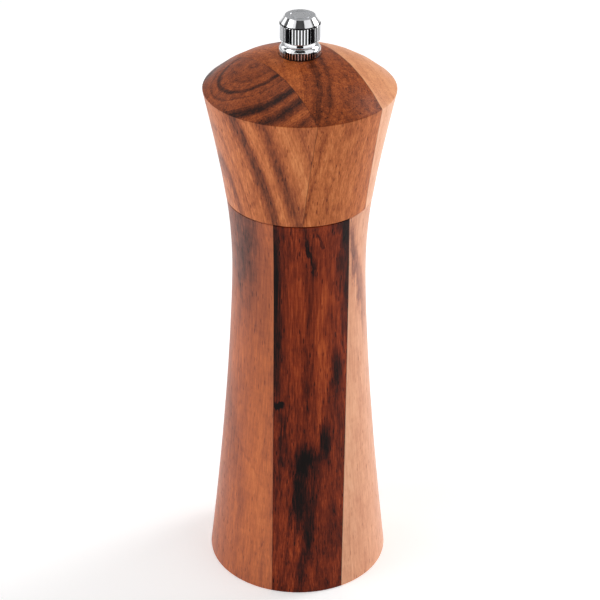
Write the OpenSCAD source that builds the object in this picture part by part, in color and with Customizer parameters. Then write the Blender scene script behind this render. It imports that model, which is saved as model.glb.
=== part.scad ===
// Pepper mill: a turned, laminated wooden body and head, a knurled top knob and a ceramic grinder.
// Millimetres, +Z up. The origin is the centre of the base, on the table.
// The head turns the square shaft, and the knob draws the shaft and its rotor up for a finer grind.

/* [Body] */
// Outside diameter at the base
base_d = 66; // [60:0.5:72]
// Outside diameter at the waist
waist_d = 47.1; // [45:0.1:52]
// Height of the waist above the table
waist_z = 122.4; // [110:0.2:135]
// How quickly the side leans out below the waist (1 is a straight cone)
lean_power = 1.49; // [1.2:0.01:2]
// Outside diameter at the top of the body
body_top_d = 50.6; // [49:0.1:56]
// Height of the body
body_h = 148.3; // [140:0.1:160]
// Diameter of the bore that holds the peppercorns
chamber_d = 34; // [30:0.5:36]
// Diameter of the recess that holds the grinder
recess_d = 49; // [48:0.5:50]
// Depth of the recess that holds the grinder
recess_h = 34; // [33:0.5:36]

/* [Head] */
// Outside diameter at the bottom of the head
head_bottom_d = 50.8; // [49:0.1:56]
// Outside diameter at the rim
rim_d = 65.8; // [60:0.1:70]
// Height of the rim above the table
rim_z = 188.8; // [180:0.1:195]
// How the side of the head curves (1 is a straight cone)
flare_power = 1.15; // [1:0.01:1.4]
// Radius of the domed top
dome_r = 49.2; // [45:0.1:60]
// Length of the spigot that reaches into the body
spigot_h = 10; // [8:0.5:14]

/* [Boards] */
// Width of the middle board of both laminations
board_w = 25.3; // [20:0.1:30]
// Direction across the glue lines of the body, in degrees from +X
body_grain_angle = -4.4; // [-90:0.1:90]
// Distance of the body's left glue line from the axis
body_glue_x = -6.9; // [-12:0.1:0]
// Direction across the glue lines of the head, in degrees from +X
head_grain_angle = 34.3; // [-90:0.1:90]
// Distance of the head's left glue line from the axis
head_glue_x = -13.3; // [-14:0.1:-10]

/* [Knob] */
// Diameter over the knurls
knob_d = 14; // [12:0.1:16]
// Diameter of the neck between the knurled bands
neck_d = 10.8; // [9:0.1:12]
// Diameter of the flat top
knob_top_d = 10.2; // [8:0.1:12]
// Number of knurls round the knob
knurls = 42; // [30:1:60]
// Depth of the knurls
knurl_depth = 0.34; // [0.2:0.02:0.5]

/* [Mechanism] */
// Width across the flats of the square shaft
shaft_w = 6; // [5:0.1:6]
// How far the knob can draw the rotor up
adjust_travel = 1.2; // [0.6:0.1:1.5]
// Grooves in the grinding faces
teeth = 24; // [16:1:36]
// Gap between the grinding faces at the coarsest setting
coarse_gap = 0.8; // [0.7:0.05:1]

/* [Hidden] */
$fn = 96;
eps = 0.5;
far = 60;

seam_gap = 0.1;
spigot_gap = 0.3;
run_gap = 0.1;
screw_gap = 0.05;
edge = 0.6;
seam_edge = 0.25;
side_steps = 26;
flare_steps = 4;
dome_steps = 6;

head_z = body_h + seam_gap;
spigot_z = head_z - spigot_h;
spigot_d = chamber_d - 2 * spigot_gap;
dome_top_z = 201.35;
dome_angle = asin((rim_d / 2 - 0.7 * edge) / dome_r);
knob_z = 201;
washer_t = 0.6;
knob_seat_z = knob_z - seam_gap - washer_t;
knob_seat_d = knob_d + 0.4;
knob_washer_d = knob_d - 1.4;
head_bore_d = 9.5;

// Heights on the knob, above its base
low_knurl_h = 2.25;
shoulder_r = 1.5;
neck_top_h = 4.6;
top_knurl_h = 5.5;
top_cone_h = 10.6;
knob_h = 13.4;

// Plain turned ring in the knob's flat top
top_ring_d = 7.2;
top_ring_w = 0.4;
top_ring_depth = 0.25;

thread_d = 5;
thread_depth = 0.4;
thread_pitch = 0.8;
thread_h = 14.4;
shaft_z = 8;
shaft_top_z = 210.8;
knob_bore_h = shaft_top_z + adjust_travel + 1 - knob_z;
shaft_hole_w = shaft_w + 0.1;

plate_t = 2;
plate_z = spigot_z - plate_t;
plate_d = 30;
plate_screw_r = 11;
plate_screw_angles = [for (i = [0:2]) head_grain_angle + 90 + 120 * i];

bridge_t = 1.5;
bridge_z = recess_h - bridge_t;
bridge_d = recess_d - 0.6;
window_d = 32.4;
hub_plate_d = 18;
spoke_w = 4.4;
flange_t = 3;
flange_z = bridge_z - flange_t;
housing_z = 5;
housing_screw_r = 21.4;
housing_screw_angles = [for (i = [0:2]) body_grain_angle + 60 + 120 * i];

tube_d = 37;
stator_d = 32;
stator_z = shaft_z;
stator_top_z = 26;
throat_z = 14;
stator_mouth_d = 28;
stator_throat_d = 22.6;
stator_out_d = 27;
circlip_t = 1.2;
circlip_groove_d = 34;
circlip_lug_r = 14.6;
circlip_lug_y = 3.4;

rotor_top_z = 21.5;
rotor_top_d = 14.6;
rotor_hub_d = 12;
hub_flange_t = 1.5;
hub_flange_d = 14;

bush_d = 11.8;
bush_flange_d = 16.4;
bush_flange_t = 1.4;
bush_flange_z = bridge_z - run_gap - bush_flange_t;
bush_top_z = 36.6;
clip_t = 0.8;
clip_z = recess_h + run_gap;
clip_d = 15.4;
clip_mouth_w = 7.2;
clip_groove_d = 10.6;

spring_wire_d = 1;
spring_d = 10.6;
spring_turns = 4.5;
spring_end_gap = 0.02;
spring_z = rotor_top_z + hub_flange_t;
spring_h = bush_flange_z - spring_z;

screw_d = 2.8;
screw_head_d = 5;
screw_clearance_d = 3.2;
screw_slot_w = 2.6;
screw_tip = 2.4;
wood_screw_len = 13.5;
wood_pilot_top_z = flange_z + wood_screw_len + 0.5;
plate_screw_len = 11;
end_washer_d = 13;
end_washer_t = 1;
end_screw_d = 3;
end_screw_len = 9;
small_washer_t = 0.5;
small_washer_d = 5.6;

wood = [0.66, 0.42, 0.25];
dark_wood = [0.47, 0.26, 0.17];
light_wood = [0.78, 0.54, 0.33];
steel = [0.72, 0.73, 0.75];
chrome = [0.85, 0.86, 0.88];
alloy = [0.8, 0.81, 0.83];
nylon = [0.93, 0.92, 0.88];
black_plastic = [0.12, 0.12, 0.13];
ceramic = [0.95, 0.94, 0.91];

// Outside radius of the body at a height: a curve that leans out below the waist and flares above it
function body_r(z) =
    z < waist_z
        ? waist_d / 2 + (base_d - waist_d) / 2 * pow(1 - z / waist_z, lean_power)
        : waist_d / 2 + (body_top_d - waist_d) / 2 * pow((z - waist_z) / (body_h - waist_z), 2);

// Outside radius of the head at a height between its lower edge and its rim
function head_r(z) =
    head_bottom_d / 2
    + (rim_d - head_bottom_d) / 2 * pow(max(0, z - head_z) / (rim_z - head_z), flare_power);

// One board of a lamination: a tall slab between two distances from the axis
module board(angle, from, to) {
    rotate(angle)
        translate([from, -far, -eps])
            cube([to - from, 2 * far, 4 * far]);
}

// Copies of the children at a radius, one for each angle
module at_screws(radius, angles) {
    for (a = angles)
        rotate(a)
            translate([radius, 0, 0])
                children();
}

// Square bar or square hole along the axis
module square_bar(w, z, h) {
    translate([-w / 2, -w / 2, z])
        cube([w, w, h]);
}

module ring(outer_d, inner_d, z, h) {
    translate([0, 0, z])
        difference() {
            cylinder(d = outer_d, h = h);
            translate([0, 0, -eps])
                cylinder(d = inner_d, h = h + 2 * eps);
        }
}

// Recess for a cross-head screwdriver, cut upwards from z = 0
module cross_slot(w, depth) {
    for (a = [0, 90])
        rotate(a)
            translate([-w / 2, -0.35, -eps])
                cube([w, 0.7, depth + eps]);
}

// Shank from z = 0 up, with turned grooves that stand for its thread, and a tip
module threaded_shank(d, len, pitch, depth, tip = 0.3) {
    rotate_extrude()
        polygon([
            [0, 0],
            [d / 2, 0],
            for (i = [0:floor((len - tip) / pitch) - 1])
                each [[d / 2, (i + 0.3) * pitch], [d / 2 - depth, (i + 0.8) * pitch]],
            [d / 2, len - tip],
            [0.4, len],
            [0, len]
        ]);
}

// ---------- body ----------

module body_turning() {
    difference() {
        rotate_extrude()
            polygon([
                [0, 0],
                [body_r(0) - edge, 0],
                [body_r(0) - 0.25 * edge, 0.3 * edge],
                for (i = [0:side_steps])
                    let (z = edge + (body_h - seam_edge - edge) * i / side_steps)
                        [body_r(z), z],
                [body_top_d / 2 - seam_edge, body_h],
                [0, body_h]
            ]);
        translate([0, 0, -eps])
            cylinder(d = recess_d, h = recess_h + eps);
        cylinder(d = chamber_d, h = body_h + eps);
        at_screws(housing_screw_r, housing_screw_angles)
            cylinder(d = screw_d + 2 * screw_gap, h = wood_pilot_top_z);
    }
}

module body_board(from, to) {
    intersection() {
        body_turning();
        board(body_grain_angle, from, to);
    }
}

module body_stave_left() {
    color(wood)
        body_board(-far, body_glue_x);
}

module body_stave_middle() {
    color(dark_wood)
        body_board(body_glue_x, body_glue_x + board_w);
}

module body_stave_right() {
    color(light_wood)
        body_board(body_glue_x + board_w, far);
}

module bridge_plate() {
    color(steel)
        translate([0, 0, bridge_z])
            linear_extrude(bridge_t)
                difference() {
                    circle(d = bridge_d);
                    difference() {
                        circle(d = window_d);
                        circle(d = hub_plate_d);
                        for (a = housing_screw_angles)
                            rotate(a)
                                translate([0, -spoke_w / 2])
                                    square([window_d, spoke_w]);
                    }
                    circle(d = bush_d + 2 * run_gap);
                    for (a = housing_screw_angles)
                        rotate(a)
                            translate([housing_screw_r, 0])
                                circle(d = screw_clearance_d);
                }
}

module grinder_housing() {
    color(black_plastic)
        difference() {
            union() {
                translate([0, 0, housing_z])
                    cylinder(d = tube_d, h = bridge_z - housing_z);
                translate([0, 0, flange_z])
                    cylinder(d = bridge_d, h = flange_t);
            }
            translate([0, 0, housing_z - eps])
                cylinder(d = stator_d, h = stator_top_z - housing_z + eps);
            translate([0, 0, stator_z - circlip_t])
                cylinder(d = circlip_groove_d, h = circlip_t);
            translate([0, 0, stator_top_z - 0.01])
                cylinder(d1 = stator_mouth_d, d2 = window_d, h = bridge_z - stator_top_z + 0.02);
            translate([0, 0, flange_z - eps])
                at_screws(housing_screw_r, housing_screw_angles)
                    cylinder(d = screw_clearance_d, h = flange_t + 2 * eps);
        }
}

module housing_screws() {
    head_h = 1.8;
    color(steel)
        translate([0, 0, flange_z - small_washer_t])
            at_screws(housing_screw_r, housing_screw_angles) {
                threaded_shank(screw_d, wood_screw_len, 1, 0.3, screw_tip);
                difference() {
                    translate([0, 0, -head_h])
                        cylinder(d1 = 0.8 * screw_head_d, d2 = screw_head_d, h = head_h);
                    translate([0, 0, -head_h])
                        cross_slot(screw_slot_w, 1.1);
                }
            }
}

module housing_screw_washers() {
    color(steel)
        at_screws(housing_screw_r, housing_screw_angles)
            ring(small_washer_d, screw_clearance_d, flange_z - small_washer_t, small_washer_t);
}

// ---------- grinder ----------

// V-grooves along a cone from (d1, z1) up to (d2, z2), turned a little so that they shear
module grooves(count, d1, z1, d2, z2, size) {
    len = norm([z2 - z1, (d1 - d2) / 2]);
    lean = atan2((d2 - d1) / 2, z2 - z1);
    for (i = [0:count - 1])
        rotate(360 * i / count)
            translate([(d1 + d2) / 4, 0, (z1 + z2) / 2])
                rotate([0, lean, 0])
                    rotate([12, 0, 0])
                        rotate(45)
                            cube([size, size, 1.3 * len], center = true);
}

module stator() {
    color(ceramic)
        difference() {
            translate([0, 0, stator_z])
                cylinder(d = stator_d, h = stator_top_z - stator_z);
            rotate_extrude()
                polygon([
                    [0, stator_z - eps],
                    [stator_out_d / 2, stator_z - eps],
                    [stator_out_d / 2, stator_z],
                    [stator_throat_d / 2, throat_z],
                    [stator_mouth_d / 2, stator_top_z],
                    [stator_mouth_d / 2, stator_top_z + eps],
                    [0, stator_top_z + eps]
                ]);
            grooves(teeth, stator_out_d, stator_z, stator_throat_d, throat_z, 1.1);
            grooves(teeth / 3, stator_throat_d, throat_z, stator_mouth_d, stator_top_z, 2.4);
        }
}

module stator_circlip() {
    ring_w = 2;
    mouth_w = 4;
    lug_d = 3.2;
    lug_hole_d = 1.5;
    color(steel)
        translate([0, 0, stator_z - circlip_t])
            linear_extrude(circlip_t)
                difference() {
                    union() {
                        difference() {
                            circle(d = circlip_groove_d - run_gap);
                            circle(d = circlip_groove_d - 2 * ring_w);
                            translate([0, -mouth_w / 2])
                                square([far, mouth_w]);
                        }
                        for (side = [-1, 1])
                            translate([circlip_lug_r, circlip_lug_y * side])
                                circle(d = lug_d);
                    }
                    for (side = [-1, 1])
                        translate([circlip_lug_r, circlip_lug_y * side])
                            circle(d = lug_hole_d);
                }
}

module rotor() {
    bottom_d = stator_out_d - 2 * coarse_gap;
    middle_d = stator_throat_d - 2 * coarse_gap;
    color(ceramic)
        difference() {
            rotate_extrude()
                polygon([
                    [0, stator_z],
                    [bottom_d / 2, stator_z],
                    [middle_d / 2, throat_z],
                    [rotor_top_d / 2, rotor_top_z],
                    [0, rotor_top_z]
                ]);
            translate([0, 0, stator_z - eps])
                cylinder(d = rotor_hub_d, h = far, $fn = 6);
            grooves(teeth, bottom_d, stator_z, middle_d, throat_z, 1.1);
            grooves(teeth / 4, middle_d, throat_z, rotor_top_d, rotor_top_z, 2.6);
        }
}

module rotor_hub() {
    color(nylon)
        difference() {
            union() {
                translate([0, 0, stator_z])
                    cylinder(d = rotor_hub_d - 0.1, h = rotor_top_z - stator_z, $fn = 6);
                translate([0, 0, rotor_top_z])
                    cylinder(d = hub_flange_d, h = hub_flange_t);
            }
            square_bar(shaft_hole_w, stator_z - eps, far);
        }
}

module shaft_end_washer() {
    color(steel)
        ring(end_washer_d, end_screw_d + 0.2, shaft_z - end_washer_t, end_washer_t);
}

module shaft_end_screw() {
    head_h = 2;
    color(steel)
        translate([0, 0, shaft_z - end_washer_t]) {
            threaded_shank(end_screw_d, end_screw_len, 0.8, 0.25);
            difference() {
                translate([0, 0, -head_h])
                    cylinder(d1 = 4.6, d2 = 5.6, h = head_h);
                translate([0, 0, -head_h])
                    cross_slot(3, 1.2);
            }
        }
}

module drive_shaft() {
    color(alloy)
        difference() {
            union() {
                square_bar(shaft_w, shaft_z, shaft_top_z - thread_h - shaft_z);
                translate([0, 0, shaft_top_z - thread_h])
                    threaded_shank(thread_d, thread_h, thread_pitch, thread_depth);
            }
            translate([0, 0, shaft_z - eps])
                cylinder(d = end_screw_d + 2 * screw_gap, h = end_screw_len + 1);
        }
}

// ---------- guide bush and spring ----------

module guide_bush() {
    color(nylon)
        difference() {
            union() {
                translate([0, 0, bush_flange_z])
                    cylinder(d = bush_flange_d, h = bush_flange_t);
                translate([0, 0, bush_flange_z])
                    cylinder(d = bush_d, h = clip_z - bush_flange_z);
                translate([0, 0, clip_z])
                    cylinder(d = clip_groove_d, h = clip_t);
                translate([0, 0, clip_z + clip_t])
                    cylinder(d = bush_d, h = bush_top_z - clip_z - clip_t);
            }
            square_bar(shaft_hole_w, bush_flange_z - eps, far);
        }
}

module guide_bush_clip() {
    color(steel)
        translate([0, 0, clip_z])
            linear_extrude(clip_t)
                difference() {
                    circle(d = clip_d);
                    circle(d = clip_groove_d + run_gap);
                    translate([0, -clip_mouth_w / 2])
                        square([far, clip_mouth_w]);
                }
}

// Coil of round wire between the rotor's hub and the guide bush, with closed ends
module spring() {
    steps = 24;
    sides = 8;
    count = steps * spring_turns;
    wire_r = spring_wire_d / 2;
    rise = spring_h - spring_wire_d - 2 * spring_end_gap;
    // Height of the wire's centre, which doesn't rise along the closed part at each end
    function coil_z(i) =
        let (closed = 0.4 * steps, t = (i - closed) / (count - 2 * closed))
            spring_z + spring_end_gap + wire_r + rise * min(1, max(0, t));
    points = [
        for (i = [0:count], k = [0:sides - 1])
            let (a = 360 * i / steps, b = 360 * k / sides, r = spring_d / 2 + wire_r * cos(b))
                [r * cos(a), r * sin(a), coil_z(i) + wire_r * sin(b)]
    ];
    faces = [
        [for (k = [0:sides - 1]) k],
        for (i = [0:count - 1], k = [0:sides - 1])
            let (a = i * sides + k, b = i * sides + (k + 1) % sides)
                [a, a + sides, b + sides, b],
        [for (k = [sides - 1:-1:0]) count * sides + k]
    ];
    color(steel)
        polyhedron(points, faces, convexity = 8);
}

// ---------- head ----------

module head_turning() {
    difference() {
        rotate_extrude()
            polygon([
                [0, spigot_z],
                [spigot_d / 2 - 0.5, spigot_z],
                [spigot_d / 2, spigot_z + 0.5],
                [spigot_d / 2, head_z],
                [head_bottom_d / 2 - seam_edge, head_z],
                for (i = [0:flare_steps])
                    let (z = head_z + seam_edge + (rim_z - edge - head_z - seam_edge) * i / flare_steps)
                        [head_r(z), z],
                [rim_d / 2 - 0.1 * edge, rim_z - 0.2 * edge],
                for (i = [dome_steps:-1:0])
                    let (a = dome_angle * i / dome_steps)
                        [dome_r * sin(a), dome_top_z - dome_r * (1 - cos(a))]
            ]);
        translate([0, 0, knob_seat_z])
            cylinder(d = knob_seat_d, h = far);
        translate([0, 0, spigot_z - eps])
            cylinder(d = head_bore_d, h = 2 * far);
        translate([0, 0, spigot_z - eps])
            at_screws(plate_screw_r, plate_screw_angles)
                cylinder(d = screw_d + 2 * screw_gap, h = plate_screw_len);
    }
}

module head_board(from, to) {
    intersection() {
        head_turning();
        board(head_grain_angle, from, to);
    }
}

module head_stave_left() {
    color(wood)
        head_board(-far, head_glue_x);
}

module head_stave_middle() {
    color(dark_wood)
        head_board(head_glue_x, head_glue_x + board_w);
}

module head_stave_right() {
    color(light_wood)
        head_board(head_glue_x + board_w, far);
}

module turn_plate() {
    color(steel)
        translate([0, 0, plate_z])
            difference() {
                cylinder(d = plate_d, h = plate_t);
                square_bar(shaft_w + 0.2, -eps, plate_t + 2 * eps);
                at_screws(plate_screw_r, plate_screw_angles) {
                    translate([0, 0, -eps])
                        cylinder(d = screw_clearance_d, h = plate_t + 2 * eps);
                    translate([0, 0, -0.01])
                        cylinder(d1 = screw_head_d + 0.2, d2 = screw_clearance_d, h = 1.3);
                }
            }
}

module turn_plate_screws() {
    head_h = 1.2;
    color(steel)
        translate([0, 0, plate_z])
            at_screws(plate_screw_r, plate_screw_angles)
                difference() {
                    union() {
                        cylinder(d1 = screw_head_d, d2 = screw_d, h = head_h);
                        translate([0, 0, 0.5 * head_h])
                            threaded_shank(screw_d, plate_screw_len - 0.5 * head_h, 1, 0.3, screw_tip);
                    }
                    cross_slot(screw_slot_w, 0.9);
                }
}

module knob_washer() {
    color(black_plastic)
        ring(knob_washer_d, head_bore_d - 1.5, knob_seat_z, washer_t);
}

// ---------- knob ----------

// Star-shaped bar whose corners are the knurls
module knurled_bar(z, h) {
    translate([0, 0, z])
        linear_extrude(h)
            polygon([
                for (i = [0:knurls - 1], half = [0, 1])
                    let (a = 360 * (i + half / 2) / knurls, r = knob_d / 2 - half * knurl_depth)
                        [r * cos(a), r * sin(a)]
            ]);
}

// Smooth turned part of the knob: shoulder, neck and the cone below its flat top
module knob_core() {
    foot_r = knob_d / 2 - knurl_depth - 0.1;
    rotate_extrude() {
        difference() {
            translate([neck_d / 2 - eps, low_knurl_h - eps])
                square([foot_r - neck_d / 2 + eps, shoulder_r + eps]);
            translate([foot_r, low_knurl_h])
                difference() {
                    translate([-shoulder_r, 0])
                        square([2 * shoulder_r, shoulder_r + eps]);
                    translate([-shoulder_r, 0])
                        circle(r = shoulder_r);
                }
        }
        square([neck_d / 2, neck_top_h + eps]);
    }
}

// Upper knurled band, with a cone below it and a longer one above it
module knob_grip() {
    r = knob_d / 2;
    low_slope = (top_knurl_h - neck_top_h) / (r - neck_d / 2);
    high_slope = (knob_h - top_cone_h) / (r - knob_top_d / 2);
    intersection() {
        knurled_bar(neck_top_h, knob_h - neck_top_h);
        rotate_extrude()
            polygon([
                [0, neck_top_h],
                [neck_d / 2, neck_top_h],
                [r + 1, top_knurl_h + low_slope],
                [r + 1, top_cone_h - high_slope],
                [knob_top_d / 2, knob_h],
                [0, knob_h]
            ]);
    }
}

module knob() {
    color(chrome)
        translate([0, 0, knob_z])
            difference() {
                union() {
                    knurled_bar(0, low_knurl_h);
                    knob_core();
                    knob_grip();
                }
                translate([0, 0, -eps])
                    cylinder(d = thread_d + run_gap, h = knob_bore_h + eps);
                ring(top_ring_d, top_ring_d - 2 * top_ring_w, knob_h - top_ring_depth, 1);
            }
}

body_stave_left();
body_stave_middle();
body_stave_right();
bridge_plate();
grinder_housing();
housing_screws();
housing_screw_washers();
stator();
stator_circlip();
guide_bush();
guide_bush_clip();
spring();
drive_shaft();
rotor();
rotor_hub();
shaft_end_washer();
shaft_end_screw();
head_stave_left();
head_stave_middle();
head_stave_right();
turn_plate();
turn_plate_screws();
knob_washer();
knob();
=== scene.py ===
"""Looks of the pepper mill: six acacia boards, a chromed knob, a ceramic grinder, and the studio round it.

Everything is in metres in the CAD frame. The wood is solid: its colour comes from a point's place in its
board, so the grain runs through the end grain of the dome and down the sides without a seam.
"""
import math
from collections import namedtuple

import bpy
from mathutils import Matrix, Vector


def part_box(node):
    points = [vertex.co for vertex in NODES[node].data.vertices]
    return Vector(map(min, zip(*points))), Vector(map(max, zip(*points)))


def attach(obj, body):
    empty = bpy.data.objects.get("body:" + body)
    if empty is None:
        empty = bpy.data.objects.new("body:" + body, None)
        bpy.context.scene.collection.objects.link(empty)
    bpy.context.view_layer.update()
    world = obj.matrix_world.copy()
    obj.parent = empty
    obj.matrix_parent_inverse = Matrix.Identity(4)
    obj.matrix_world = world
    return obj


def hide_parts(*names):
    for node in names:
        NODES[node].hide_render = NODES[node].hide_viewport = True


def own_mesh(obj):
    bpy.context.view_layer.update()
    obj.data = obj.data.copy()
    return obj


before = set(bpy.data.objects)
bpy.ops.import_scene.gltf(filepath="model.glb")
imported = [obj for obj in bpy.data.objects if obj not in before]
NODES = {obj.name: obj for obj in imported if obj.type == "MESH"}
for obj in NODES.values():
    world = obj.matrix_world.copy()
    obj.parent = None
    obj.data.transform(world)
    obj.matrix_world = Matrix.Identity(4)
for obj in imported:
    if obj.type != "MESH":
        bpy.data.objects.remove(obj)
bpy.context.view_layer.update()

MM = 0.001


# ---------- helpers for node materials ----------

class Nodes:
    """Short calls that add and link the nodes of one node tree."""

    def __init__(self, tree):
        self.tree = tree

    def add(self, kind, inputs=None, **settings):
        node = self.tree.nodes.new(kind)
        for key, value in settings.items():
            setattr(node, key, value)
        for key, value in (inputs or {}).items():
            self.feed(node.inputs[key], value)
        return node

    def feed(self, socket, value):
        if isinstance(value, bpy.types.NodeSocket):
            self.tree.links.new(value, socket)
        else:
            socket.default_value = value

    def math(self, operation, a, b=0.0, clamp=False):
        return self.add("ShaderNodeMath", {0: a, 1: b}, operation=operation, use_clamp=clamp).outputs[0]

    def total(self, *values):
        result = values[0]
        for value in values[1:]:
            result = self.math("ADD", result, value)
        return result

    def times(self, a, b):
        return self.math("MULTIPLY", a, b)

    def vector(self, operation, a, b=(0, 0, 0)):
        return self.add("ShaderNodeVectorMath", {0: a, 1: b}, operation=operation).outputs[0]

    def length(self, vector):
        return self.add("ShaderNodeVectorMath", {0: vector}, operation="LENGTH").outputs["Value"]

    def parts(self, vector):
        return self.add("ShaderNodeSeparateXYZ", {0: vector}).outputs

    def join(self, x, y, z):
        return self.add("ShaderNodeCombineXYZ", {0: x, 1: y, 2: z}).outputs[0]

    def remap(self, value, low, high, to_low=0.0, to_high=1.0, smooth=True):
        kind = "SMOOTHSTEP" if smooth else "LINEAR"
        inputs = {0: value, 1: low, 2: high, 3: to_low, 4: to_high}
        return self.add("ShaderNodeMapRange", inputs, interpolation_type=kind).outputs[0]

    def noise(self, vector, scale=1.0, detail=3.0, roughness=0.5, distortion=0.0):
        inputs = {"Vector": vector, "Scale": scale, "Detail": detail,
                  "Roughness": roughness, "Distortion": distortion}
        return self.add("ShaderNodeTexNoise", inputs).outputs["Fac"]

    def noise_1d(self, value, scale=1.0, detail=2.0):
        inputs = {"W": value, "Scale": scale, "Detail": detail}
        return self.add("ShaderNodeTexNoise", inputs, noise_dimensions="1D").outputs["Fac"]

    def cells(self, vector, randomness=1.0):
        inputs = {"Vector": vector, "Scale": 1.0, "Randomness": randomness}
        return self.add("ShaderNodeTexVoronoi", inputs)

    def ramp(self, value, stops, smooth=False):
        node = self.add("ShaderNodeValToRGB", {0: value})
        node.color_ramp.interpolation = "B_SPLINE" if smooth else "LINEAR"
        points = node.color_ramp.elements
        while len(points) < len(stops):
            points.new(0.5)
        for point, (place, colour) in zip(points, stops):
            point.position = place
            point.color = (*colour, 1.0)
        return node.outputs[0]

    def mix(self, factor, a, b, blend="MIX"):
        node = self.add("ShaderNodeMix", data_type="RGBA", blend_type=blend)
        self.feed(node.inputs[0], factor)
        for index, colour in ((6, a), (7, b)):
            self.feed(node.inputs[index], (*colour, 1.0) if isinstance(colour, tuple) else colour)
        return node.outputs[2]


class Material(Nodes):
    """A new material on a Principled shader."""

    def __init__(self, name):
        self.material = bpy.data.materials.new(name)
        self.material.use_nodes = True
        super().__init__(self.material.node_tree)
        self.shader = self.tree.nodes["Principled BSDF"]

    def bump(self, height, distance, strength=1.0):
        node = self.add("ShaderNodeBump", {"Height": height, "Distance": distance, "Strength": strength})
        self.feed(self.shader.inputs["Normal"], node.outputs[0])

    def set(self, **values):
        for key, value in values.items():
            self.feed(self.shader.inputs[key.replace("_", " ")], value)

    def place(self):
        """The point in millimetres, in the frame of the CAD node."""
        point = self.add("ShaderNodeTexCoord").outputs["Object"]
        return self.vector("MULTIPLY", point, (1 / MM, 1 / MM, 1 / MM))


def linear(*srgb):
    """A colour read as 0 to 255 in a picture, as the linear light that shaders take."""
    return tuple(((c / 255 + 0.055) / 1.055) ** 2.4 if c > 10 else c / 255 / 12.92 for c in srgb)


# ---------- wood ----------

# A soft-edged darker or paler streak in a board. Middle and half sizes in millimetres, lean in degrees.
# soft is the share of its radius over which it fades out.
Streak = namedtuple("Streak", "weight x z half_w half_h lean y half_depth soft", defaults=(0, -24, 36, 0.8))


def board_place(mat, grain_angle):
    """The point in a board's own millimetres: x across the glue lines, y along them, z up the grain."""
    turn = -math.radians(grain_angle)
    return mat.add("ShaderNodeVectorRotate", {"Vector": mat.place(), "Angle": turn},
                   rotation_type="Z_AXIS").outputs[0]


def streak_tone(mat, place, streak):
    """The streak's weight in its middle, 0 outside it."""
    offset = mat.vector("SUBTRACT", place, (streak.x, streak.y, streak.z))
    turned = mat.add("ShaderNodeVectorRotate", {"Vector": offset, "Angle": math.radians(streak.lean)},
                     rotation_type="Y_AXIS").outputs[0]
    scaled = mat.vector("DIVIDE", turned, (streak.half_w, streak.half_depth, streak.half_h))
    return mat.remap(mat.length(scaled), 1.0 - streak.soft, 1.0, streak.weight, 0.0)


def centred(mat, value, weight):
    """A 0 to 1 value as a change about zero, with its weight."""
    return mat.times(mat.math("SUBTRACT", value, 0.5), weight)


def ring_distance(mat, place, pith, lean, shift):
    """Distance from the heart of the tree, which leans by lean (across, along) for each millimetre up."""
    x, y, z = mat.parts(place)
    across = mat.math("SUBTRACT", mat.math("SUBTRACT", x, pith[0]), mat.times(z, lean[0]))
    along = mat.math("SUBTRACT", mat.math("SUBTRACT", y, pith[1]), mat.times(z, lean[1]))
    return mat.math("ADD", mat.length(mat.join(across, along, 0.0)), shift)


def pore_dashes(mat, seeded):
    """1 in the short open vessels that run along the grain, 0 between them."""
    cells = mat.cells(mat.vector("MULTIPLY", seeded, (1.3, 1.3, 0.22)))
    size = mat.remap(mat.parts(cells.outputs["Color"])[0], 0.2, 1.0, 0.0, 0.24)
    return mat.remap(mat.math("SUBTRACT", cells.outputs["Distance"], size), -0.04, 0.1, 1.0, 0.0)


def end_grain(mat):
    """1 where the surface faces up or down, 0 on the sides."""
    normal = mat.add("ShaderNodeTexCoord").outputs["Normal"]
    return mat.remap(mat.math("ABSOLUTE", mat.parts(normal)[2]), 0.35, 0.75, 0.0, 1.0)


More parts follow.
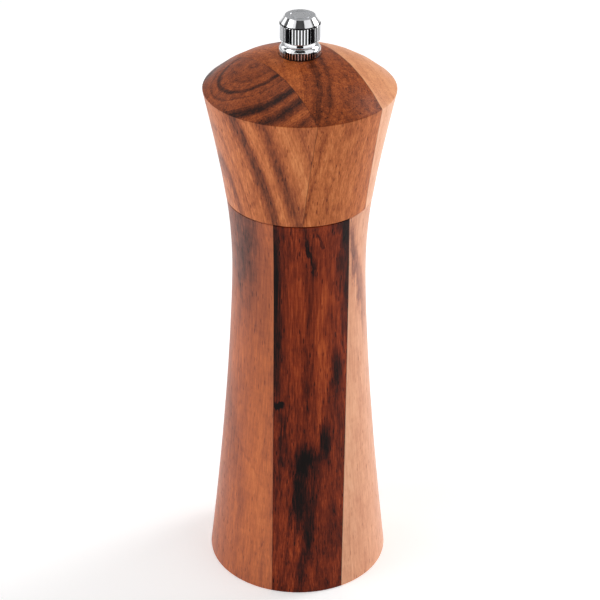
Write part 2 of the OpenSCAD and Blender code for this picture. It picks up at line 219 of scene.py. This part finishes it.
def wood(name, grain_angle, glue_lines, tones, pith, rings, ring_weight, start, lean=(0, 0), streaks=(),
         fibre=1.0, fine_rings=0.6, wander=6.0, ripple=0.12, end_dark=0.0, gloss=0.2, seed=0.0):
    """Oiled acacia. tones are (darkness, colour) stops, and rings are (millimetres from the pith, darkness).

    start is the darkness before the rings and streaks are added, fibre scales the fine grain, and
    end_dark darkens the end grain, where the surface faces up or down.
    """
    mat = Material(name)
    place = board_place(mat, grain_angle)
    seeded = mat.vector("ADD", place, (seed, 2 * seed, 3 * seed))

    # The rings wander slowly, and much less along the grain than across it
    slow = mat.noise(mat.vector("MULTIPLY", seeded, (0.05, 0.05, 0.012)), detail=1.0)
    quick = mat.noise(mat.vector("MULTIPLY", seeded, (0.25, 0.25, 0.035)), detail=2.0)
    shift = mat.math("ADD", centred(mat, slow, wander), centred(mat, quick, 0.4 * wander))
    radius = ring_distance(mat, place, pith, lean, shift)
    reach = rings[-1][0]
    tone = mat.ramp(mat.math("DIVIDE", radius, reach), [(r / reach, (t, t, t)) for r, t in rings])
    tone = mat.math("ADD", mat.times(tone, ring_weight), start)
    seeded_radius = mat.math("ADD", radius, seed)
    tone = mat.math("ADD", tone, centred(mat, mat.noise_1d(seeded_radius, 0.4, 3.0), fine_rings))
    tone = mat.math("ADD", tone, centred(mat, mat.noise_1d(seeded_radius, 2.2, 3.0), 0.6 * fine_rings))

    # Fibres: dots on the end grain, long hairs down the sides
    strands = mat.noise(mat.vector("MULTIPLY", seeded, (0.7, 0.7, 0.03)), detail=4.0, roughness=0.7)
    hairs = mat.noise(mat.vector("MULTIPLY", seeded, (2.0, 2.0, 0.1)), detail=4.0, roughness=0.75)
    mottle = mat.noise(mat.vector("MULTIPLY", seeded, (0.28, 0.28, 0.12)), detail=4.0, roughness=0.6)
    ripples = mat.noise(mat.vector("MULTIPLY", seeded, (0.12, 0.12, 0.9)), detail=3.0, roughness=0.6)
    for value, weight in ((strands, 0.65 * fibre), (hairs, 1.0 * fibre), (mottle, 0.35), (ripples, ripple)):
        tone = mat.math("ADD", tone, centred(mat, value, weight))

    sideways = mat.total(mat.times(shift, 0.25), centred(mat, strands, 2.5), centred(mat, mottle, 2.5))
    bent = mat.vector("ADD", place, mat.join(sideways, 0.0, centred(mat, mottle, 12.0)))
    for streak in streaks:
        tone = mat.math("ADD", tone, streak_tone(mat, bent, streak))

    pores = pore_dashes(mat, seeded)
    tone = mat.math("ADD", tone, mat.times(pores, 0.3 * fibre))
    tone = mat.math("ADD", tone, mat.times(end_grain(mat), end_dark))

    colour = mat.ramp(tone, tones)
    x = mat.parts(place)[0]
    for line in glue_lines:
        gap = mat.math("ABSOLUTE", mat.math("SUBTRACT", x, line))
        colour = mat.mix(mat.remap(gap, 0.03, 0.2, 0.5, 0.0), colour, linear(40, 20, 12))

    # Redder on the end grain, where the surface faces up or down
    reddened = mat.mix(1.0, colour, (1.0, 0.86, 0.62), "MULTIPLY")
    colour = mat.mix(mat.times(end_grain(mat), 0.7), colour, reddened)

    polish = mat.noise(mat.vector("MULTIPLY", seeded, (0.08, 0.08, 0.04)), detail=2.0)
    rough = mat.total(mat.times(polish, 0.12), mat.times(hairs, 0.14), mat.times(pores, 0.16))
    mat.set(Base_Color=colour, Roughness=mat.math("ADD", rough, 0.24), Specular_IOR_Level=gloss)
    relief = mat.total(mat.times(hairs, 0.35), mat.times(strands, 0.3), mat.times(pores, -1.0))
    mat.bump(relief, 0.08 * MM, 0.5)
    return mat.material


TAN_TONES = [
    (0.0, linear(228, 138, 82)), (0.3, linear(200, 109, 62)), (0.55, linear(160, 84, 54)),
    (0.78, linear(106, 56, 42)), (1.0, linear(50, 26, 21)),
]
GOLD_TONES = [
    (0.0, linear(230, 148, 90)), (0.3, linear(198, 112, 62)), (0.55, linear(152, 76, 40)),
    (0.78, linear(96, 44, 22)), (1.0, linear(42, 17, 8)),
]
RED_TONES = [
    (0.0, linear(190, 88, 42)), (0.3, linear(142, 54, 24)), (0.55, linear(96, 31, 13)),
    (0.78, linear(50, 16, 10)), (1.0, linear(15, 6, 5)),
]
LIGHT_TONES = [
    (0.0, linear(244, 190, 150)), (0.3, linear(228, 162, 122)), (0.55, linear(204, 132, 94)),
    (0.78, linear(152, 88, 64)), (1.0, linear(84, 46, 34)),
]
BODY_ANGLE = -4.4
BODY_GLUE = (-6.9, 18.4)
HEAD_ANGLE = 34.3
HEAD_GLUE = (-13.3, 12.0)


def body_woods():
    left = wood(
        "acacia_body_left", BODY_ANGLE, BODY_GLUE, TAN_TONES, pith=(-70, -40), lean=(0.09, 0.05),
        rings=[(0, 0.3), (40, 0.2), (45, 0.5), (49, 0.2), (60, 0.3), (80, 0.2)], ring_weight=0.3,
        start=0.36, fine_rings=0.2, fibre=0.65, gloss=0.25, seed=3.1,
        streaks=[
            Streak(0.34, x=-18, z=146, half_w=12, half_h=62, lean=5, y=-14, soft=1.0),
            Streak(0.12, x=-24, z=66, half_w=5, half_h=60, lean=8, y=-14, soft=1.0),
            Streak(0.1, x=-17, z=52, half_w=1.4, half_h=18, lean=35, y=-20),
            Streak(-0.14, x=-12, z=36, half_w=8, half_h=56, soft=1.0),
        ])
    middle = wood(
        "acacia_body_middle", BODY_ANGLE, BODY_GLUE, RED_TONES, pith=(40, -70), lean=(0.02, 0.03),
        rings=[(0, 0.4), (60, 0.4), (70, 0.55), (78, 0.35), (90, 0.5), (120, 0.4)], ring_weight=0.4,
        start=0.3, fine_rings=0.4, fibre=1.1, gloss=0.1, seed=11.7,
        streaks=[
            Streak(0.45, x=-6.6, z=118, half_w=3.4, half_h=58, soft=0.8),
            Streak(0.4, x=18.4, z=140, half_w=6.0, half_h=58, lean=2, soft=0.8),
            Streak(0.3, x=14.8, z=90, half_w=3, half_h=12),
            Streak(0.8, x=-4.9, z=76.6, half_w=2.4, half_h=2.2),
            Streak(0.45, x=11.5, z=62.5, half_w=2.6, half_h=10, lean=4),
            Streak(0.42, x=5.7, z=55, half_w=10, half_h=8, soft=1.0),
            Streak(0.36, x=4.5, z=40, half_w=8, half_h=30, soft=1.0),
            Streak(0.26, x=3.0, z=40, half_w=3.4, half_h=18, lean=-5, soft=1.0),
            Streak(0.3, x=6.6, z=26, half_w=3, half_h=20, lean=4, soft=1.0),
            Streak(0.36, x=3.4, z=6, half_w=3.6, half_h=24, lean=-7, soft=1.0),
            Streak(0.4, x=5.6, z=137, half_w=0.9, half_h=14, lean=11),
            Streak(0.35, x=8.8, z=142, half_w=0.9, half_h=11, lean=14),
            Streak(0.25, x=-3.4, z=60, half_w=2.6, half_h=20),
            Streak(-0.2, x=9.6, z=100, half_w=3.6, half_h=44),
            Streak(-0.14, x=1.0, z=112, half_w=4.5, half_h=40),
            Streak(-0.1, x=-1.5, z=20, half_w=4.5, half_h=24),
        ])
    right = wood(
        "acacia_body_right", BODY_ANGLE, BODY_GLUE, LIGHT_TONES, pith=(75, -30), lean=(-0.05, 0.22),
        rings=[(0, 0.3), (40, 0.3), (47, 0.5), (53, 0.3), (70, 0.4), (90, 0.3)], ring_weight=0.3,
        start=0.27, fine_rings=0.25, fibre=0.6, gloss=0.5, seed=23.9,
        streaks=[
            Streak(0.34, x=21.4, z=122, half_w=1.6, half_h=40, lean=7, y=-11, half_depth=20),
            Streak(0.16, x=19, z=140, half_w=3, half_h=26, y=-16, soft=1.0),
            Streak(-0.08, x=20, z=60, half_w=4, half_h=44, y=-18),
        ])
    return left, middle, right


def head_woods():
    left = wood(
        "acacia_head_left", HEAD_ANGLE, HEAD_GLUE, GOLD_TONES, pith=(-15.8, 4.3),
        rings=[(0, 0.3), (3, 0.2), (4.6, 0.45), (5.6, 0.2), (7.2, 0.5), (8.4, 0.25), (10.8, 0.3),
               (11.7, 0.9), (12.4, 0.25), (14.5, 0.4), (15.5, 0.2), (18, 0.4), (19.4, 1.0), (21, 0.8),
               (22, 0.25), (24, 0.3), (25.5, 0.95), (27, 0.3), (29, 0.2), (32, 0.4), (40, 0.2)],
        ring_weight=0.6, start=0.16, fine_rings=0.5, fibre=0.8, wander=2.4, end_dark=0.26, gloss=0.2,
        seed=37.3)
    middle = wood(
        "acacia_head_middle", HEAD_ANGLE, HEAD_GLUE, GOLD_TONES, pith=(-131.4, 20), lean=(0.22, 0),
        rings=[(0, 0.2), (76, 0.2), (84, 0.1), (88, 0.3), (90.5, 0.85), (93, 0.4), (95, 0.7), (98, 0.35),
               (104, 0.45), (120, 0.4)],
        ring_weight=0.5, start=0.14, fine_rings=0.35, fibre=0.9, wander=3.0, end_dark=0.24, gloss=0.12,
        seed=41.9)
    right = wood(
        "acacia_head_right", HEAD_ANGLE, HEAD_GLUE, LIGHT_TONES, pith=(90, -20),
        rings=[(0, 0.2), (50, 0.2), (60, 0.5), (66, 0.2), (75, 0.4), (100, 0.2)],
        ring_weight=0.3, start=0.14, fine_rings=0.3, fibre=0.7, wander=4.0, end_dark=0.12, gloss=0.3,
        seed=53.3)
    return left, middle, right


# ---------- metals, ceramic and plastics ----------

def chrome(bands, valley_r, crest_r):
    """Polished, with painted shade in the valleys between the knurls of the (low z, high z) bands.
    Millimetres.
    """
    mat = Material("polished_chrome")
    place = mat.place()
    x, y, z = mat.parts(place)
    radius = mat.length(mat.join(x, y, 0.0))
    smudge = mat.noise(mat.vector("MULTIPLY", place, (0.5, 0.5, 0.5)), detail=3.0)
    fine = mat.noise(mat.vector("MULTIPLY", place, (9.0, 9.0, 9.0)), detail=2.0)
    colour = mat.mix(smudge, (0.80, 0.81, 0.83), (0.94, 0.94, 0.95))
    rise = crest_r - valley_r
    # Painted shade: near black where the radius drops into a knurl valley, inside the knurled bands
    painted_valley_shade = mat.remap(radius, valley_r + 0.45 * rise, valley_r + 0.7 * rise, 1.0, 0.0)
    for low, high in bands:
        middle, half = (low + high) / 2, (high - low) / 2
        away = mat.math("ABSOLUTE", mat.math("SUBTRACT", z, middle))
        inside = mat.remap(away, half - 0.1, half, 1.0, 0.0)
        colour = mat.mix(mat.times(painted_valley_shade, inside), colour, (0.012, 0.012, 0.013))
    mat.set(Base_Color=colour, Metallic=1.0, Roughness=mat.remap(smudge, 0.3, 0.8, 0.04, 0.1))
    mat.bump(fine, 0.004 * MM, 0.4)
    return mat.material


def turned_top():
    """The flat top of the knob, with the fine rings that a lathe leaves."""
    mat = Material("turned_chrome")
    place = mat.place()
    x, y, _ = mat.parts(place)
    radius = mat.length(mat.join(x, y, 0.0))
    rings = mat.noise_1d(radius, 9.0, 3.0)
    mat.set(Base_Color=mat.mix(rings, (0.50, 0.51, 0.53), (0.74, 0.75, 0.77)), Metallic=1.0,
            Roughness=mat.remap(rings, 0.2, 0.8, 0.22, 0.4), Anisotropic=0.5)
    mat.bump(rings, 0.01 * MM, 0.5)
    return mat.material


def brushed_metal(name, dark, bright, stretch, rough):
    mat = Material(name)
    place = mat.place()
    lines = mat.noise(mat.vector("MULTIPLY", place, stretch), detail=3.0, roughness=0.65)
    blotch = mat.noise(mat.vector("MULTIPLY", place, (0.25, 0.25, 0.25)), detail=2.0)
    mat.set(Base_Color=mat.mix(mat.times(mat.math("ADD", lines, blotch), 0.5), dark, bright), Metallic=1.0,
            Roughness=mat.remap(lines, 0.2, 0.8, rough - 0.08, rough + 0.1))
    mat.bump(lines, 0.01 * MM, 0.5)
    return mat.material


def ceramic():
    mat = Material("fired_ceramic")
    place = mat.place()
    grain = mat.noise(mat.vector("MULTIPLY", place, (6.0, 6.0, 6.0)), detail=3.0)
    cloud = mat.noise(mat.vector("MULTIPLY", place, (0.35, 0.35, 0.35)), detail=2.0)
    speck = mat.cells(mat.vector("MULTIPLY", place, (0.8, 0.8, 0.8))).outputs["Distance"]
    colour = mat.mix(cloud, linear(238, 233, 220), linear(250, 248, 240))
    colour = mat.mix(mat.remap(speck, 0.04, 0.1, 0.5, 0.0), colour, linear(150, 120, 90))
    mat.set(Base_Color=colour, Roughness=mat.remap(grain, 0.2, 0.8, 0.35, 0.55))
    mat.bump(grain, 0.03 * MM, 0.5)
    return mat.material


def moulded_plastic(name, dark, bright, rough):
    mat = Material(name)
    place = mat.place()
    grain = mat.noise(mat.vector("MULTIPLY", place, (4.0, 4.0, 4.0)), detail=3.0)
    flow = mat.noise(mat.vector("MULTIPLY", place, (0.2, 0.2, 0.5)), detail=2.0)
    mat.set(Base_Color=mat.mix(flow, dark, bright),
            Roughness=mat.remap(grain, 0.2, 0.8, rough - 0.06, rough + 0.1))
    mat.bump(grain, 0.02 * MM, 0.4)
    return mat.material


# ---------- dressing the CAD nodes ----------

def smooth(node, sharp_angle=18.0):
    """Joins the surface patches of a CAD node and shades them as one, apart from its sharp edges."""
    weld = node.modifiers.new("weld", "WELD")
    weld.merge_threshold = 1e-6
    split = node.modifiers.new("split", "EDGE_SPLIT")
    split.split_angle = math.radians(sharp_angle)
    node.modifiers.new("normals", "WEIGHTED_NORMAL")


def dress(node_name, material, smoothed=False):
    node = NODES[node_name]
    node.data.materials.clear()
    node.data.materials.append(material)
    if smoothed:
        smooth(node)


# Millimetres, the bands above the foot of the knob
KNURL_DEPTH = 0.34
KNURL_BANDS = ((-0.2, 2.25), (4.9, 11.2))
KNOB_TOP_DEPTH = 0.4
STEEL_NODES = ("bridge_plate", "turn_plate", "turn_plate_screws", "guide_bush_clip", "stator_circlip",
               "housing_screws", "housing_screw_washers", "shaft_end_washer", "shaft_end_screw")


def dress_knob():
    """Polished all over, with painted shade in the knurl valleys and a turned finish on its flat top."""
    knob = NODES["knob"]
    low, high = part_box("knob")
    base, top, crest_r = low.z / MM, high.z, high.x / MM
    bands = [(base + low_z, base + high_z) for low_z, high_z in KNURL_BANDS]
    knob.data.materials.clear()
    knob.data.materials.append(chrome(bands, crest_r - KNURL_DEPTH, crest_r))
    knob.data.materials.append(turned_top())
    for face in knob.data.polygons:
        if face.normal.z > 0.95 and face.center.z > top - KNOB_TOP_DEPTH * MM:
            face.material_index = 1


def dress_nodes():
    for side, material in zip(("left", "middle", "right"), body_woods()):
        dress(f"body_stave_{side}", material, smoothed=True)
    for side, material in zip(("left", "middle", "right"), head_woods()):
        dress(f"head_stave_{side}", material, smoothed=True)
    dress_knob()
    steel = brushed_metal("stainless", (0.42, 0.42, 0.43), (0.7, 0.7, 0.71), (1.5, 14.0, 14.0), 0.32)
    for node_name in STEEL_NODES:
        dress(node_name, steel)
    alloy = brushed_metal("drawn_alloy", (0.6, 0.61, 0.63), (0.82, 0.83, 0.85), (9.0, 9.0, 0.25), 0.3)
    dress("drive_shaft", alloy)
    white = ceramic()
    for node_name in ("stator", "rotor"):
        dress(node_name, white)
    nylon = moulded_plastic("nylon", linear(225, 220, 205), linear(238, 234, 222), 0.42)
    for node_name in ("guide_bush", "rotor_hub"):
        dress(node_name, nylon)
    black = moulded_plastic("black_plastic", linear(24, 24, 26), linear(38, 38, 41), 0.42)
    # The knob washer is black so that it stands for the dark line under the knob's foot: partly a black
    # nylon washer, partly painted shade.
    for node_name in ("grinder_housing", "knob_washer"):
        dress(node_name, black)


# ---------- spring ----------

def spring():
    """A round-wire coil in the place of the CAD spring."""
    low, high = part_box("spring")
    wire_r = 0.5 * MM
    coil_r = high.x - wire_r
    turns, closed, steps, sides = 4.5, 0.4, 64, 16
    count = int(turns * steps)
    rise = (high.z - low.z) - 2 * wire_r
    vertices, faces = [], []
    for i in range(count + 1):
        angle = 2 * math.pi * i / steps
        share = (i / steps - closed) / (turns - 2 * closed)
        middle_z = low.z + wire_r + rise * min(1.0, max(0.0, share))
        for k in range(sides):
            side = 2 * math.pi * k / sides
            r = coil_r + wire_r * math.cos(side)
            vertices.append((r * math.cos(angle), r * math.sin(angle), middle_z + wire_r * math.sin(side)))
    for i in range(count):
        for k in range(sides):
            a, b = i * sides + k, i * sides + (k + 1) % sides
            faces.append((a, a + sides, b + sides, b))
    faces.append(tuple(range(sides)))
    faces.append(tuple(count * sides + k for k in reversed(range(sides))))
    mesh = bpy.data.meshes.new("spring_coil")
    mesh.from_pydata(vertices, [], faces)
    mesh.shade_smooth()
    coil = bpy.data.objects.new("spring_coil", mesh)
    bpy.context.scene.collection.objects.link(coil)
    steel = brushed_metal("spring_steel", (0.4, 0.4, 0.41), (0.66, 0.66, 0.67), (3.0, 3.0, 3.0), 0.25)
    mesh.materials.append(steel)
    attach(coil, "bush")
    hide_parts("spring")
    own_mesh(coil)


# ---------- studio ----------

def floor():
    mesh = bpy.data.meshes.new("floor")
    half = 6.0
    corners = [(-half, -half, 0), (half, -half, 0), (half, half, 0), (-half, half, 0)]
    mesh.from_pydata(corners, [], [(0, 1, 2, 3)])
    plane = bpy.data.objects.new("floor", mesh)
    bpy.context.scene.collection.objects.link(plane)
    mat = Material("paper_sweep")
    place = mat.place()
    tooth = mat.noise(mat.vector("MULTIPLY", place, (1.0, 1.0, 1.0)), detail=3.0)
    mat.set(Base_Color=mat.mix(tooth, (0.86, 0.86, 0.86), (0.9, 0.9, 0.9)), Roughness=0.9,
            Specular_IOR_Level=0.1, Emission_Color=(1, 1, 1, 1), Emission_Strength=0.35)
    mesh.materials.append(mat.material)


def dark_card():
    """Black cloth in front of the mill, out of the picture, that only reflections see."""
    half_w = 0.2
    near_y = -0.28
    far_y = -1.6
    height = 0.5 * MM
    outline = ((-half_w, far_y), (half_w, far_y), (half_w, near_y), (-half_w, near_y))
    corners = [(x, y, height) for x, y in outline]
    mesh = bpy.data.meshes.new("dark_card")
    mesh.from_pydata(corners, [], [(0, 1, 2, 3)])
    card = bpy.data.objects.new("dark_card", mesh)
    bpy.context.scene.collection.objects.link(card)
    mat = Material("black_cloth")
    weave = mat.noise(mat.vector("MULTIPLY", mat.place(), (2.0, 2.0, 2.0)), detail=2.0)
    mat.set(Base_Color=mat.mix(weave, (0.006, 0.006, 0.006), (0.012, 0.012, 0.012)), Roughness=0.95,
            Specular_IOR_Level=0.1)
    mesh.materials.append(mat.material)
    card.visible_camera = False
    card.visible_diffuse = False
    card.visible_shadow = False


def softbox(name, place, size, watts, target=(0, 0, 0.12)):
    data = bpy.data.lights.new(name, "AREA")
    data.shape = "RECTANGLE"
    data.size, data.size_y = size
    data.energy = watts
    lamp = bpy.data.objects.new(name, data)
    bpy.context.scene.collection.objects.link(lamp)
    lamp.location = place
    lamp.rotation_euler = (Vector(target) - Vector(place)).to_track_quat("-Z", "Y").to_euler()


def tent():
    """A light tent: a dark gap where the camera looks in, two bright walls beside it and strips behind."""
    world = bpy.data.worlds.new("tent")
    bpy.context.scene.world = world
    world.use_nodes = True
    nodes = Nodes(world.node_tree)
    direction = nodes.add("ShaderNodeTexCoord").outputs["Generated"]
    x, y, z = nodes.parts(direction)
    azimuth = nodes.math("ARCTAN2", x, nodes.times(y, -1.0))
    degrees = nodes.math("MULTIPLY", azimuth, 180.0 / math.pi)
    # (azimuth in degrees, brightness), with 0 towards the camera
    walls = [(-180, 0.7), (-150, 0.5), (-136, 0.4), (-130, 1.6), (-112, 1.6), (-106, 0.15), (-88, 0.12),
             (-82, 1.25), (-34, 1.25), (-30, 0.0), (30, 0.0), (34, 1.15), (82, 1.15), (88, 0.12),
             (108, 0.15), (112, 5.0), (126, 5.0), (132, 0.4), (150, 0.5), (180, 0.7)]
    wall = nodes.ramp(nodes.remap(degrees, -180, 180, smooth=False),
                      [((angle + 180) / 360, (bright,) * 3) for angle, bright in walls])
    roof = nodes.remap(z, 0.62, 0.95, 0.0, 1.0)
    background = world.node_tree.nodes["Background"]
    nodes.feed(background.inputs["Color"], nodes.mix(roof, wall, (0.4, 0.4, 0.4)))
    background.inputs["Strength"].default_value = 0.8


def studio():
    floor()
    dark_card()
    softbox("softbox_left", (-0.75, -0.25, 0.5), (0.4, 0.8), 1.6)
    softbox("softbox_right", (0.75, 0.28, 0.45), (0.3, 0.8), 2.4)
    softbox("softbox_top", (0.0, 0.1, 1.2), (0.9, 0.9), 2.0)
    tent()


def camera():
    """In front of the mill, looking 30 degrees down through a long lens, as in the photograph."""
    data = bpy.data.cameras.new("camera")
    data.sensor_width = 36.0
    data.lens = 120.4
    view = bpy.data.objects.new("camera", data)
    bpy.context.scene.collection.objects.link(view)
    pitch = math.radians(29.92)
    roll = math.radians(0.305)
    yaw = math.radians(0.042)
    place = (0, -0.621, 0.4632)
    ahead = math.cos(pitch)
    forward = Vector((math.sin(yaw) * ahead, math.cos(yaw) * ahead, -math.sin(pitch)))
    level = Vector((math.cos(yaw), -math.sin(yaw), 0.0))
    upright = level.cross(forward)
    right = math.cos(roll) * level + math.sin(roll) * upright
    up = math.cos(roll) * upright - math.sin(roll) * level
    turned = Matrix((right, up, -forward)).transposed().to_4x4()
    view.matrix_world = Matrix.Translation(place) @ turned
    data.clip_start = 0.01
    bpy.context.scene.camera = view


dress_nodes()
spring()
studio()
camera()
bpy.context.scene.view_settings.view_transform = "Standard"
